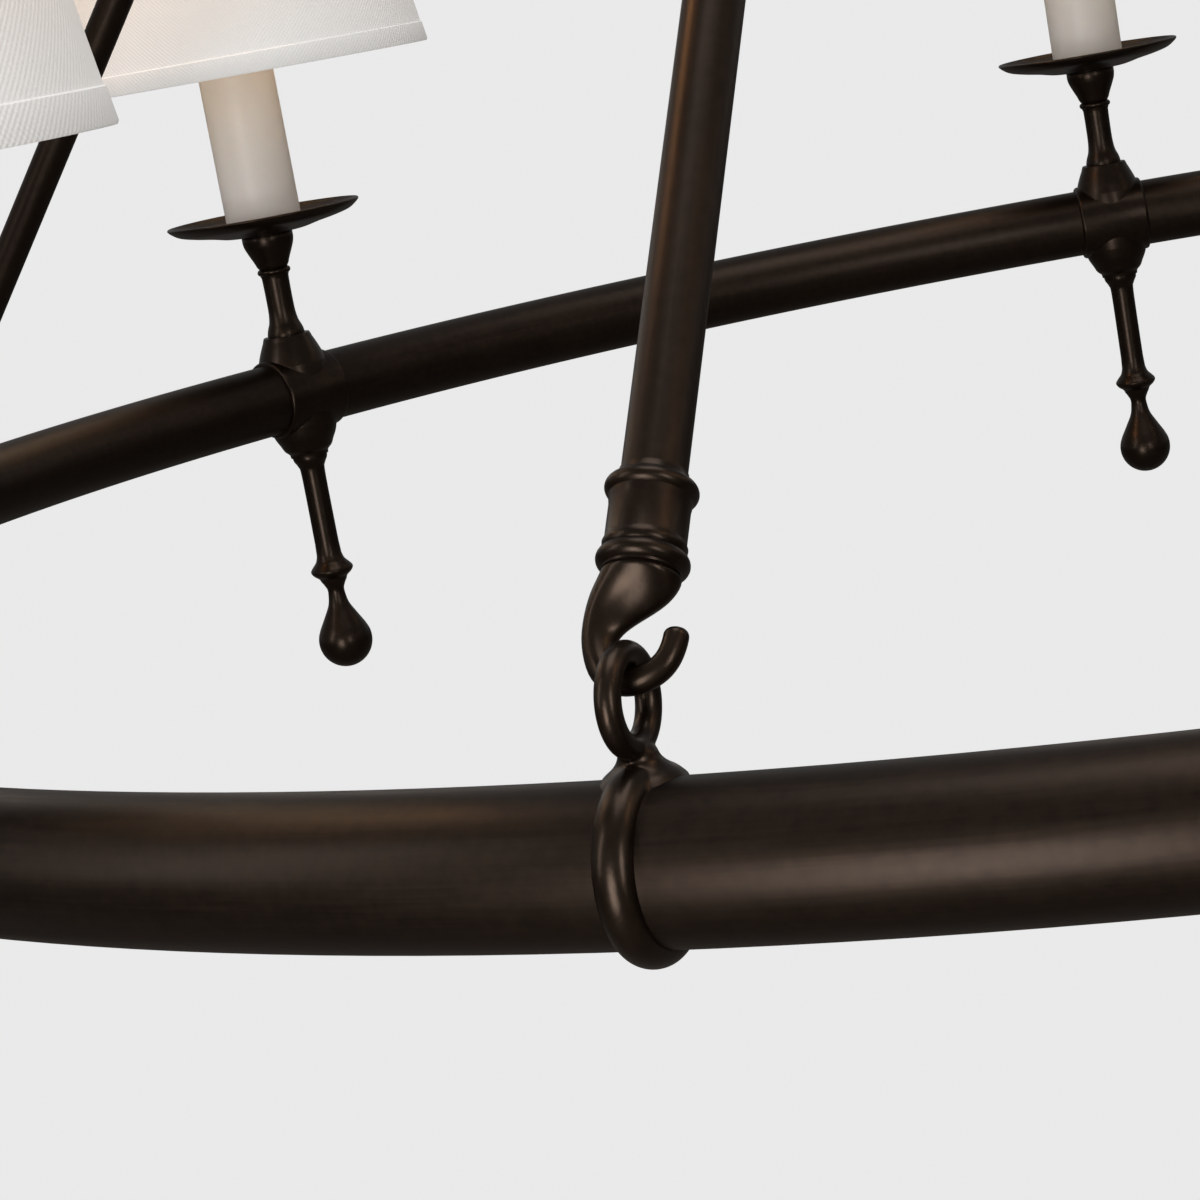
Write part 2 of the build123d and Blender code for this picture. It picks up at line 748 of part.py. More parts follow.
# Pendant: turned spindle under the boss, with a bead, and a stud up into the boss
with BuildPart() as pendant:
    with BuildSketch(Plane.XZ):
        with BuildLine():
            roof = Line((0, 0), (boss_foot_radius - 0.5, 0))
            cup = ThreePointArc(
                roof @ 1,
                (pendant_shaft_radius + 0.8, -2.6),
                (pendant_shaft_radius, -6.0),
            )
            spindle = Line(cup @ 1, (pendant_shaft_radius - 0.1, -pendant_bead_drop + 7.0))
            swell = ThreePointArc(
                spindle @ 1,
                (pendant_shaft_radius + 0.9, -pendant_bead_drop + 3.4),
                (pendant_bead_radius - 0.9, -pendant_bead_drop + 1.2),
            )
            bead_line = ThreePointArc(
                swell @ 1,
                (pendant_bead_radius, -pendant_bead_drop),
                (pendant_bead_radius - 1.1, -pendant_bead_drop - 1.2),
            )
            tuck = ThreePointArc(
                bead_line @ 1,
                (finial_neck_radius + 2.2, -pendant_length + 1.6),
                (finial_neck_radius + 1.5, -pendant_length),
            )
            floor_line = Line(tuck @ 1, (0, -pendant_length))
            Line(floor_line @ 1, (0, 0))
        make_face()
    revolve(axis=Axis.Z)
    Cylinder(
        pendant_stud_radius,
        pendant_stud_length,
        align=(Align.CENTER, Align.CENTER, Align.MIN),
    )
    with Locations((0, 0, -pendant_length)):
        Cylinder(
            finial_stud_radius + fixed_clearance,
            pendant_stud_length + stud_end_gap,
            align=(Align.CENTER, Align.CENTER, Align.MIN),
            mode=Mode.SUBTRACT,
        )
pendant_places = [place * Location((0, 0, -boss_foot)) for place in lamp_places]
write_group(pendant, pendant_places, "pendants")

# Ball finial: pear-shaped neck and ball, with a stud up into the pendant
shoulder_across = finial_ball_radius * cos(radians(finial_shoulder_angle))
shoulder_up = finial_ball_radius * sin(radians(finial_shoulder_angle))
with BuildPart() as finial:
    with BuildSketch(Plane.XZ):
        with BuildLine():
            lid = Line((0, 0), (finial_neck_radius + 1.2, 0))
            throat_line = ThreePointArc(
                lid @ 1,
                (finial_neck_radius, -3.0),
                (finial_neck_radius + 0.9, -8.8),
            )
            shoulder = Spline(
                throat_line @ 1,
                (finial_ball_radius * 0.62, -finial_ball_drop + finial_ball_radius * 0.92),
                (shoulder_across, -finial_ball_drop + shoulder_up),
                tangents=[(0.25, -1), (shoulder_up, -shoulder_across)],
            )
            globe = ThreePointArc(
                shoulder @ 1,
                (finial_ball_radius * cos(radians(30)), -finial_ball_drop - finial_ball_radius / 2),
                (0, -finial_ball_drop - finial_ball_radius),
            )
            Line(globe @ 1, (0, 0))
        make_face()
    revolve(axis=Axis.Z)
    Cylinder(
        finial_stud_radius,
        pendant_stud_length,
        align=(Align.CENTER, Align.CENTER, Align.MIN),
    )
finial_places = [
    place * Location((0, 0, -boss_foot - pendant_length)) for place in lamp_places
]
write_group(finial, finial_places, "ball_finials")

# Bulb: a screw cap and a torpedo glass on the lamp's axis
bulb_foot = sleeve_top + bulb_lift
bulb_top = bulb_foot + bulb_length
with BuildPart() as bulb:
    with BuildSketch(Plane.XZ):
        with BuildLine():
            cap_floor = Line((0, cap_foot), (cap_radius - 1.5, cap_foot))
            cap_edge = Line(cap_floor @ 1, (cap_radius, cap_foot + 2.0))
            cap_side = Line(cap_edge @ 1, (cap_radius, bulb_foot))
            glass_foot = Line(cap_side @ 1, (bulb_neck_radius, bulb_foot + 0.6))
            swell = Spline(
                glass_foot @ 1,
                (bulb_radius, bulb_foot + bulb_widest),
                tangents=[(0.7, 1), (0, 1)],
            )
            glass = Spline(
                swell @ 1,
                (bulb_radius * 0.6, bulb_top - bulb_taper),
                (0, bulb_top),
                tangents=[(0, 1), (-1, 0.1)],
            )
            Line(glass @ 1, (0, cap_foot))
        make_face()
    revolve(axis=Axis.Z)
write_each(bulb, lamp_places, "bulb")

# Shade: a plain cone of linen on card, open at both ends
shade_bottom = column_top + shade_bottom_rise
shade_top = shade_bottom + shade_height
shade_slope = (shade_bottom_radius - shade_top_radius) / shade_height
with BuildPart() as shade:
    with BuildSketch(Plane.XZ):
        with BuildLine():
            Polyline(
                (shade_bottom_radius, shade_bottom),
                (shade_top_radius, shade_top),
                (shade_top_radius - shade_wall, shade_top),
                (shade_bottom_radius - shade_wall, shade_bottom),
                close=True,
            )
        make_face()
    revolve(axis=Axis.Z)
write_each(shade, shade_places, "shade")

# Shade frame: a wire ring in each edge of the shade, two arms across the top to a small plate, and
# two wire loops under the plate that clip over the bulb
ring_inset = shade_wall + frame_wire_radius + frame_ring_gap
top_ring_height = shade_top - frame_ring_set
bottom_ring_height = shade_bottom + frame_ring_set
top_ring_radius = shade_top_radius - ring_inset + shade_slope * frame_ring_set
bottom_ring_radius = shade_bottom_radius - ring_inset - shade_slope * frame_ring_set
plate_foot = bulb_top + clip_gap
plate_middle = plate_foot + clip_plate_height / 2
clip_reach = bulb_radius + clip_gap + frame_wire_radius
clip_top = plate_foot - clip_top_drop
clip_middle = clip_top - clip_height / 2
half_clip = clip_height / 2
with BuildPart() as shade_frame:
    with Locations((0, 0, top_ring_height)):
        Torus(top_ring_radius, frame_wire_radius)
    with Locations((0, 0, bottom_ring_height)):
        Torus(bottom_ring_radius, frame_wire_radius)
    with BuildSketch(Plane.XY.offset(plate_foot)):
        Circle(clip_plate_radius)
    extrude(amount=clip_plate_height)
    for side in (1, -1):
        plate_edge = Vector(0, side * (clip_plate_radius - 1.0), plate_middle)
        ring_side = Vector(0, side * top_ring_radius, top_ring_height)
        with BuildLine() as arm_line:
            arm = Line(plate_edge, ring_side)
        with BuildSketch(Plane(origin=plate_edge, z_dir=arm % 0)):
            Circle(frame_wire_radius)
        extrude(amount=arm.length)
        hanger_share = (clip_reach - clip_plate_radius + 1.0) / (top_ring_radius - clip_plate_radius + 1.0)
        hanger_top = arm @ hanger_share
        with BuildSketch(Plane(origin=hanger_top, z_dir=(0, 0, -1))):
            Circle(frame_hanger_radius)
        extrude(amount=hanger_top.Z - clip_top)
        clip_plane = Plane(origin=(0, side * clip_reach, clip_middle), z_dir=(0, 1, 0), x_dir=(1, 0, 0))
        with BuildLine(clip_plane) as clip_line:
            FilletPolyline(
                (clip_half_width, half_clip),
                (clip_half_width, -half_clip),
                (-clip_half_width, -half_clip),
                (-clip_half_width, half_clip),
                radius=clip_corner_radius,
                close=True,
            )
        clip_wire = clip_line.wires()[0]
        with BuildSketch(Plane(origin=clip_wire @ 0, z_dir=clip_wire % 0)):
            Circle(frame_wire_radius)
        sweep(path=clip_wire)
write_each(shade_frame, shade_places, "shade_frame")
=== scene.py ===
# %% [markdown]
# A ring chandelier: a bent bronze tube carries eight candle lamps, and four rods hook into eyelets
# on the tube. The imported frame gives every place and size, so each new piece is built around it.

# %% Load the frame
import json
from math import atan2, cos, hypot, pi, radians, sin

import bmesh
import bpy
from mathutils import Matrix, Vector


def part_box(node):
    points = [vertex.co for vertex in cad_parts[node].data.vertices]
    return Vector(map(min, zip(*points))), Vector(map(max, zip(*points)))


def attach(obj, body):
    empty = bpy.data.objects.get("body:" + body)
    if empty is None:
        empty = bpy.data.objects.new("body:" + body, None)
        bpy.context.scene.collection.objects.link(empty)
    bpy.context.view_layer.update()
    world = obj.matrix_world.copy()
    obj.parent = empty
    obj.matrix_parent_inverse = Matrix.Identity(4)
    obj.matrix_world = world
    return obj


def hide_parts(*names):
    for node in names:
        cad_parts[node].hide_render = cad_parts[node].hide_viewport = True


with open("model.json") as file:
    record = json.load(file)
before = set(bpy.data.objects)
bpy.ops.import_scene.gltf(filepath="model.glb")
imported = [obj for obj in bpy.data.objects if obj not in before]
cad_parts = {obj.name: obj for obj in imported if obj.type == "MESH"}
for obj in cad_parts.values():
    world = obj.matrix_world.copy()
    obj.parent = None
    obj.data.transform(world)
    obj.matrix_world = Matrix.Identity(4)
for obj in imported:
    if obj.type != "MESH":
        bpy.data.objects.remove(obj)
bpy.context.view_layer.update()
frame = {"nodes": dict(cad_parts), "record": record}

mm = 0.001

# %% [markdown]
# The camera stands low beside the ring, close to one hook, with a long lens. It is made first, so
# that everything after it can be judged from the photograph's own viewpoint.

# %% Camera
camera_place = Vector((0.2065096, -0.8632111, -0.6721984))
camera_right = Vector((0.89648546, 0.40744328, -0.17407987))
camera_down = Vector((-0.07948009, -0.23863603, -0.9678511))
camera_forward = Vector((-0.43588615, 0.88150032, -0.18155011))
camera_lens = 98.85

camera = bpy.data.objects.new("camera", bpy.data.cameras.new("camera"))
bpy.context.scene.collection.objects.link(camera)
turn = Matrix((camera_right, -camera_down, -camera_forward)).transposed()
camera.matrix_world = Matrix.Translation(camera_place) @ turn.to_4x4()
camera.data.lens = camera_lens
camera.data.sensor_width = 36.0
camera.data.clip_start = 0.01
camera.data.clip_end = 200.0
bpy.context.scene.camera = camera
print("camera at", tuple(round(v, 3) for v in camera_place))

# %% [markdown]
# The ring's own size comes from the frame: half the tube's height is its radius, and the ring's
# radius is what is left of the box. The rods lean from the eyelets up to the middle of the hub.

# %% Sizes read from the frame
ring_low, ring_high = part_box("ring_tube")
tube_radius = (ring_high.z - ring_low.z) / 2
ring_radius = ring_high.x - tube_radius
ring_z = (ring_high.z + ring_low.z) / 2
hub_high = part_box("hub")[1].z
hub_top_rise = 31.0 * mm
hub_middle_z = hub_high - hub_top_rise
lamp_angles = [radians(22.5 + 45 * k) for k in range(8)]
rod_angles = [radians(270 + 90 * k) for k in range(4)]
bowl_inward = 3.06 * mm
bowl_height = 26.67 * mm
shade_low, shade_high = 117.0, 237.0
thread_gap = 0.75
print("ring radius", round(ring_radius, 4), "tube radius", round(tube_radius, 4))


def lamp_place(angle):
    """A lamp's frame: +X points away from the ring's middle, +Z up, zero at the tube's middle."""
    spot = Vector((ring_radius * cos(angle), ring_radius * sin(angle), ring_z))
    return Matrix.Translation(spot) @ Matrix.Rotation(angle, 4, "Z")


def rod_place(angle):
    """A rod's frame: +Z up the leaning rod, +X along the tube, zero at the hook's lowest point."""
    outward = Vector((cos(angle), sin(angle), 0))
    spot = outward * (ring_radius - bowl_inward) + Vector((0, 0, ring_z + bowl_height))
    along = (Vector((0, 0, hub_middle_z)) - spot).normalized()
    across = Vector((-sin(angle), cos(angle), 0))
    turned = Matrix((across, along.cross(across), along)).transposed()
    return Matrix.Translation(spot) @ turned.to_4x4()


def collar_place(angle):
    """A collar's frame: +X along the tube, +Y towards the ring's middle, +Z up."""
    spot = Vector((ring_radius * cos(angle), ring_radius * sin(angle), ring_z))
    return Matrix.Translation(spot) @ Matrix.Rotation(angle + pi / 2, 4, "Z")


# %% [markdown]
# Turned metal is a profile spun round an axis. A few points of the profile are enough when a smooth
# curve is drawn through them. Every piece also gets its material and its body here.

# %% Profile and lathe helpers
round_grain, along_grain = 0.01, 0.03


def curve_through(points, steps=6):
    """More points on a smooth line through the given ones."""
    line = []
    ends = [points[0], *points, points[-1]]
    for before, start, end, after in zip(ends, ends[1:], ends[2:], ends[3:]):
        for step in range(steps):
            t = step / steps
            weights = (
                (-t + 2 * t**2 - t**3) / 2,
                (2 - 5 * t**2 + 3 * t**3) / 2,
                (t + 4 * t**2 - 3 * t**3) / 2,
                (t**3 - t**2) / 2,
            )
            corners = (before, start, end, after)
            line.append(tuple(sum(w * c[i] for w, c in zip(weights, corners)) for i in (0, 1)))
    return [*line, points[-1]]


def arc(middle, radius, start, end, steps=10):
    """Points on part of a circle, from one angle to another in degrees."""
    angles = [radians(start + (end - start) * k / steps) for k in range(steps + 1)]
    return [(middle[0] + radius * cos(a), middle[1] + radius * sin(a)) for a in angles]


def lathe(profile, steps=64):
    """A closed turned shape from (radius, height) points in millimetres."""
    bm = bmesh.new()
    verts = [bm.verts.new((r * mm, 0, z * mm)) for r, z in profile]
    edges = [bm.edges.new(pair) for pair in zip(verts, verts[1:])]
    bmesh.ops.spin(
        bm, geom=verts + edges, cent=(0, 0, 0), axis=(0, 0, 1), angle=2 * pi,
        steps=steps, use_merge=True, use_duplicate=False,
    )
    bmesh.ops.remove_doubles(bm, verts=bm.verts, dist=0.5e-6)
    bmesh.ops.dissolve_degenerate(bm, edges=bm.edges, dist=0.5e-6)
    bmesh.ops.holes_fill(bm, edges=bm.edges, sides=0)
    bmesh.ops.recalc_face_normals(bm, faces=bm.faces)
    return bm


def mark_grain(bm, turned=True):
    """Stores each point's place in the grain: round a turned piece, or along a drawn one."""
    layer = bm.verts.layers.float_vector.new("grain")
    for v in bm.verts:
        radius = hypot(v.co.x, v.co.y)
        if turned:
            v[layer] = (round_grain * atan2(v.co.y, v.co.x), radius, v.co.z)
        else:
            v[layer] = (v.co.z * along_grain, v.co.x, v.co.y)
    return bm


def copies(template, places):
    """One bmesh with the template at every place."""
    whole = bmesh.new()
    for place in places:
        step = bpy.data.meshes.new("step")
        template.to_mesh(step)
        step.transform(place)
        whole.from_mesh(step)
        bpy.data.meshes.remove(step)
    return whole


def finish_piece(bm, name, body, material, nodes, crease=38):
    """Makes the piece, smooth apart from its creases, and hands it to the frame."""
    mesh = bpy.data.meshes.new(name)
    for face in bm.faces:
        face.smooth = True
    for edge in bm.edges:
        edge.smooth = len(edge.link_faces) != 2 or edge.calc_face_angle(0) < radians(crease)
    bm.to_mesh(mesh)
    bm.free()
    piece = bpy.data.objects.new(name, mesh)
    bpy.context.scene.collection.objects.link(piece)
    mesh.materials.append(material)
    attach(piece, body)
    if nodes:
        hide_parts(*nodes)
    print(name, len(mesh.polygons), "faces")
    return piece


print("helpers ready, grain scales", round_grain, along_grain)

# %% [markdown]
# The bronze is one finish everywhere: a dark brown skin, cloudy where it was rubbed, with a fine
# brushed grain. One node group holds it, and each material gives it its own amounts.

# %% Node helpers and the bronze group
def link(tree, start, end):
    tree.links.new(start, end)


def add_node(tree, kind, **values):
    node = tree.nodes.new(kind)
    for key, value in values.items():
        setattr(node, key, value)
    return node


def bronze_group():
    """Colour, roughness and height of brushed dark bronze."""
    group = bpy.data.node_groups.new("brushed_bronze", "ShaderNodeTree")
    face = group.interface
    for name, kind, value in (
        ("Place", "NodeSocketVector", None),
        ("Grain place", "NodeSocketVector", None),
        ("Grain", "NodeSocketFloat", 0.5),
        ("Rub", "NodeSocketFloat", 0.5),
        ("Dark", "NodeSocketColor", (0.016, 0.0096, 0.0060, 1)),
        ("Light", "NodeSocketColor", (0.058, 0.036, 0.0225, 1)),
        ("Gloss", "NodeSocketFloat", 0.30),
    ):
        socket = face.new_socket(name=name, in_out="INPUT", socket_type=kind)
        if value is not None:
            socket.default_value = value
    for name, kind in (("Color", "NodeSocketColor"), ("Roughness", "NodeSocketFloat"),
                       ("Height", "NodeSocketFloat")):
        face.new_socket(name=name, in_out="OUTPUT", socket_type=kind)
    given = add_node(group, "NodeGroupInput")
    result = add_node(group, "NodeGroupOutput")
    cloud = add_node(group, "ShaderNodeTexNoise")
    cloud.inputs["Scale"].default_value = 45.0
    cloud.inputs["Detail"].default_value = 5.0
    cloud.inputs["Roughness"].default_value = 0.62
    link(group, given.outputs["Place"], cloud.inputs["Vector"])
    hair = add_node(group, "ShaderNodeTexNoise")
    hair.inputs["Scale"].default_value = 1500.0
    hair.inputs["Detail"].default_value = 3.0
    link(group, given.outputs["Grain place"], hair.inputs["Vector"])
    speck = add_node(group, "ShaderNodeTexNoise")
    speck.inputs["Scale"].default_value = 420.0
    speck.inputs["Detail"].default_value = 6.0
    link(group, given.outputs["Place"], speck.inputs["Vector"])

    def blend_math(operation, first, second):
        node = add_node(group, "ShaderNodeMath", operation=operation)
        for socket, value in zip(node.inputs, (first, second)):
            if isinstance(value, (int, float)):
                socket.default_value = value
            else:
                link(group, value, socket)
        return node.outputs[0]

    cloud_part = blend_math("MULTIPLY", cloud.outputs[0], given.outputs["Rub"])
    hair_part = blend_math("MULTIPLY", blend_math("SUBTRACT", hair.outputs[0], 0.5),
                           given.outputs["Grain"])
    speck_part = blend_math("MULTIPLY", blend_math("SUBTRACT", speck.outputs[0], 0.5), 0.4)
    hair_tone = blend_math("MULTIPLY", hair_part, 0.35)
    amount = blend_math("ADD", blend_math("ADD", cloud_part, hair_tone), speck_part)
    mix = add_node(group, "ShaderNodeMix", data_type="RGBA")
    link(group, amount, mix.inputs[0])
    link(group, given.outputs["Dark"], mix.inputs[6])
    link(group, given.outputs["Light"], mix.inputs[7])
    link(group, mix.outputs[2], result.inputs["Color"])
    rough = blend_math("ADD", given.outputs["Gloss"],
                       blend_math("MULTIPLY", blend_math("SUBTRACT", cloud.outputs[0], 0.5), 0.1))
    rough = blend_math("ADD", rough, blend_math("MULTIPLY", hair_part, 0.15))
    link(group, rough, result.inputs["Roughness"])
    height = blend_math("ADD", hair_part, blend_math("MULTIPLY", speck_part, 0.7))
    link(group, height, result.inputs["Height"])
    return group


bronze_skin = bronze_group()


def new_material(name):
    """A material with its shader and the coordinates it reads."""
    material = bpy.data.materials.new(name)
    material.use_nodes = True
    tree = material.node_tree
    return material, tree, tree.nodes["Principled BSDF"], add_node(tree, "ShaderNodeTexCoord")


def bronze(name, grain, rub, gloss, grain_from=None, bump=0.02):
    """Dark bronze with its own amounts of grain, rubbing and gloss."""
    material, tree, shader, place = new_material(name)
    skin = add_node(tree, "ShaderNodeGroup", node_tree=bronze_skin)
    skin.inputs["Grain"].default_value = grain
    skin.inputs["Rub"].default_value = rub
    skin.inputs["Gloss"].default_value = gloss
    link(tree, place.outputs["Object"], skin.inputs["Place"])
    if grain_from:
        stored = add_node(tree, "ShaderNodeAttribute", attribute_name=grain_from)
        link(tree, stored.outputs["Vector"], skin.inputs["Grain place"])
    else:
        link(tree, place.outputs["Object"], skin.inputs["Grain place"])
    ridges = add_node(tree, "ShaderNodeBump")
    ridges.inputs["Distance"].default_value = bump * mm
    link(tree, skin.outputs["Height"], ridges.inputs["Height"])
    link(tree, ridges.outputs["Normal"], shader.inputs["Normal"])
    link(tree, skin.outputs["Color"], shader.inputs["Base Color"])
    link(tree, skin.outputs["Roughness"], shader.inputs["Roughness"])
    shader.inputs["Metallic"].default_value = 0.85
    shader.inputs["Coat Weight"].default_value = 0.05
    shader.inputs["Coat Roughness"].default_value = 0.3
    return material


drawn_bronze = bronze("drawn_bronze", 0.8, 0.35, 0.41, "grain")
turned_bronze = bronze("turned_bronze", 0.5, 0.4, 0.31, "grain")
cast_bronze = bronze("cast_bronze", 0.35, 0.55, 0.30, None, 0.04)
print("bronze finishes", [m.name for m in (drawn_bronze, turned_bronze, cast_bronze)])

# %% [markdown]
# The plain finishes: satin paint on the candle sleeves, white linen with a painted warm glow on the
# shades, warm bulbs, brass wire, black holders and zinc steel. Each gets the small unevenness that
# its real surface has.

# %% Plain finishes
def mottled(name, first, second, scale, roughness, metallic=0.0, bump=0.0, stretch=(1, 1, 1)):
    """A two-tone surface, clouded by noise, with a matching bump."""
    material, tree, shader, place = new_material(name)
    spread = add_node(tree, "ShaderNodeMapping")
    spread.inputs["Scale"].default_value = stretch
    link(tree, place.outputs["Object"], spread.inputs["Vector"])
    noise = add_node(tree, "ShaderNodeTexNoise")
    noise.inputs["Scale"].default_value = scale
    noise.inputs["Detail"].default_value = 6.0
    link(tree, spread.outputs["Vector"], noise.inputs["Vector"])
    tones = add_node(tree, "ShaderNodeMix", data_type="RGBA")
    tones.inputs[6].default_value = (*first, 1)
    tones.inputs[7].default_value = (*second, 1)
    link(tree, noise.outputs[0], tones.inputs[0])
    link(tree, tones.outputs[2], shader.inputs["Base Color"])
    shader.inputs["Roughness"].default_value = roughness
    shader.inputs["Metallic"].default_value = metallic
    if bump:
        ridges = add_node(tree, "ShaderNodeBump")
        ridges.inputs["Distance"].default_value = bump * mm
        link(tree, noise.outputs[0], ridges.inputs["Height"])
        link(tree, ridges.outputs["Normal"], shader.inputs["Normal"])
    return material, tree, shader


candle_white, tree, shader = mottled(
    "candle_white", (0.74, 0.70, 0.66), (0.80, 0.77, 0.73), 60, 0.42, bump=0.03)
shader.inputs["Subsurface Weight"].default_value = 0.15
shader.inputs["Subsurface Radius"].default_value = (0.004, 0.002, 0.001)
holder_black, _, _ = mottled("holder_black", (0.012, 0.012, 0.012), (0.03, 0.03, 0.03), 300, 0.5)
zinc_steel, _, _ = mottled("zinc_steel", (0.45, 0.45, 0.46), (0.6, 0.6, 0.6), 90, 0.4, 1.0)
wire_brass, _, _ = mottled("wire_brass", (0.5, 0.36, 0.16), (0.65, 0.5, 0.25), 200, 0.33, 1.0)
bulb_glow, _, shader = mottled("bulb_glow", (0.95, 0.85, 0.7), (1.0, 0.92, 0.8), 40, 0.25)
shader.inputs["Emission Color"].default_value = (1.0, 0.72, 0.45, 1)
shader.inputs["Emission Strength"].default_value = 5.0


def linen(name, glow):
    """White linen: threads along and round the cone, a little sheen, and a painted glow for the
    bulb's light through it.
    """
    material, tree, shader = mottled(name, (0.79, 0.79, 0.79), (0.81, 0.81, 0.80), 160, 0.88)
    threads = add_node(tree, "ShaderNodeAttribute", attribute_name="thread")
    split = add_node(tree, "ShaderNodeSeparateXYZ")
    link(tree, threads.outputs["Vector"], split.inputs[0])
    waves = []
    for axis in (0, 1):
        wave = add_node(tree, "ShaderNodeMath", operation="SINE")
        link(tree, split.outputs[axis], wave.inputs[0])
        waves.append(wave)
    weave = add_node(tree, "ShaderNodeMath", operation="MULTIPLY")
    link(tree, waves[0].outputs[0], weave.inputs[0])
    link(tree, waves[1].outputs[0], weave.inputs[1])
    ridges = add_node(tree, "ShaderNodeBump")
    ridges.inputs["Distance"].default_value = 0.06 * mm
    link(tree, weave.outputs[0], ridges.inputs["Height"])
    link(tree, ridges.outputs["Normal"], shader.inputs["Normal"])
    shader.inputs["Sheen Weight"].default_value = 0.2
    # Painted glow: emission stands in for the bulb's light through the linen, grey-white at the
    # lower edge and warm orange from 45 mm above it.
    painted_glow_rise = add_node(tree, "ShaderNodeMapRange", interpolation_type="SMOOTHSTEP")
    painted_glow_rise.inputs["From Min"].default_value = (shade_low - 5) / thread_gap * pi
    painted_glow_rise.inputs["From Max"].default_value = (shade_low + 45) / thread_gap * pi
    link(tree, split.outputs[1], painted_glow_rise.inputs["Value"])
    painted_glow_tone = add_node(tree, "ShaderNodeMix", data_type="RGBA")
    painted_glow_tone.inputs[6].default_value = (0.75, 0.72, 0.68, 1)
    painted_glow_tone.inputs[7].default_value = (1.0, 0.72, 0.46, 1)
    link(tree, painted_glow_rise.outputs[0], painted_glow_tone.inputs[0])
    link(tree, painted_glow_tone.outputs[2], shader.inputs["Emission Color"])
    shader.inputs["Emission Strength"].default_value = glow
    return material


shade_linen = linen("shade_linen", 0.2)
print("plain finishes ready")

# %% [markdown]
# The ring is a drawn tube rolled into a circle. A circle of points spun round the ring's middle
# gives it in one step, and the grain is stored along the tube, as the brushing runs.

# %% Ring tube
tube_sides, ring_steps = 48, 288
bm = bmesh.new()
bmesh.ops.create_circle(bm, segments=tube_sides, radius=tube_radius)
bmesh.ops.rotate(bm, verts=bm.verts, matrix=Matrix.Rotation(pi / 2, 3, "X"))
bmesh.ops.translate(bm, verts=bm.verts, vec=(ring_radius, 0, ring_z))
bmesh.ops.spin(
    bm, geom=list(bm.verts) + list(bm.edges), cent=(0, 0, 0), axis=(0, 0, 1), angle=2 * pi,
    steps=ring_steps, use_merge=True, use_duplicate=False,
)
bmesh.ops.recalc_face_normals(bm, faces=bm.faces)
layer = bm.verts.layers.float_vector.new("grain")
for v in bm.verts:
    around = hypot(v.co.x, v.co.y) - ring_radius
    v[layer] = (atan2(v.co.y, v.co.x) * ring_radius * along_grain, around, v.co.z - ring_z)
finish_piece(bm, "rolled_ring", "frame", drawn_bronze, ["ring_tube"])

# %% [markdown]
# Each rod is drawn bar between two turned ferrules, and each ferrule has a bead at both ends. The
# upper ferrules stand upside down against the hub's sockets.

# %% Rods and ferrules
ferrule_start = 17.4
ferrule_length = 16.9
hub_reach = 30.0
rod_radius = 5.1
rod_set_in = 6.0
ferrule_profile = (
    [(0.0, 0.0), (5.6, 0.0), (6.0, 0.15)]
    + arc((5.55, 2.0), 1.6, -70, 68, 12)
    + [(6.35, 3.75), (6.45, 4.2), (6.5, 4.7), (6.3, 5.1), (6.22, 5.6), (6.22, 11.0), (6.3, 11.5)]
    + arc((5.75, 13.9), 1.45, -62, 84, 12)
    + [(5.4, 15.9), (5.3, 16.9), (rod_radius - 0.2, 16.9)]
)
hub_middle = Vector((0, 0, hub_middle_z))
rod_line = (hub_middle - rod_place(rod_angles[0]).translation).length / mm
rod_foot = ferrule_start + ferrule_length - rod_set_in
rod_top = rod_line - hub_reach - ferrule_length + rod_set_in
for number, angle in enumerate(rod_angles, 1):
    rod_profile = [(rod_radius, rod_foot), (rod_radius, rod_top)]
    bm = copies(mark_grain(lathe(rod_profile, 48), turned=False), [rod_place(angle)])
    finish_piece(bm, f"drawn_rod_{number}", "frame", drawn_bronze,
                 [f"rod_{number}"])
upside_down = Matrix.Translation((0, 0, (rod_line - hub_reach) * mm)) @ Matrix.Rotation(pi, 4, "X")
bm = copies(mark_grain(lathe(ferrule_profile)), [rod_place(a) @ upside_down for a in rod_angles])
finish_piece(bm, "upper_ferrules", "frame", turned_bronze, ["rod_top_ferrules"])

# %% [markdown]
# The cast hook grows out of the lower ferrule as a wide horn, scooped on its outer side, and thins
# into the round wire of the bowl. Circles follow the hook's line and are bridged one to the next.

# %% Hook
bowl_radius = 6.1
bowl_shift = 0.3
hook_sections = (
    # along (x, z), direction in degrees from +X, half width, half depth, scoop
    [((6.95, 8.1), -90, 1.9, 1.9, 0.0), ((6.95, 6.3), -92, 1.95, 1.95, 0.0),
     ((6.45, 3.8), -112, 2.0, 2.0, 0.0), ((5.05, 1.75), -138, 2.08, 2.08, 0.0)]
    + [((bowl_radius * cos(radians(a)) + bowl_shift, bowl_radius + bowl_radius * sin(radians(a))),
        a - 90, w, w, 0.0)
       for a, w in ((-70, 2.18), (-95, 2.25), (-120, 2.3), (-145, 2.38))]
    + [((-5.7, 6.2), 92, 2.55, 2.45, 0.15), ((-5.5, 8.6), 82, 3.0, 2.75, 0.45),
       ((-4.4, 10.9), 75, 4.0, 3.4, 0.7), ((-2.8, 13.0), 72, 5.15, 4.2, 0.8),
       ((-0.9, 15.0), 76, 6.1, 5.0, 0.65), ((0.15, 17.0), 86, 6.4, 5.7, 0.2),
       ((0.0, 18.2), 90, 5.9, 5.8, 0.0)]
)
section_sides = 40
scoop_middle = radians(-55)
scoop_depth = 0.55
scoop_spread = 1.35
tip_round, tip_reach = 1.15, 2.2


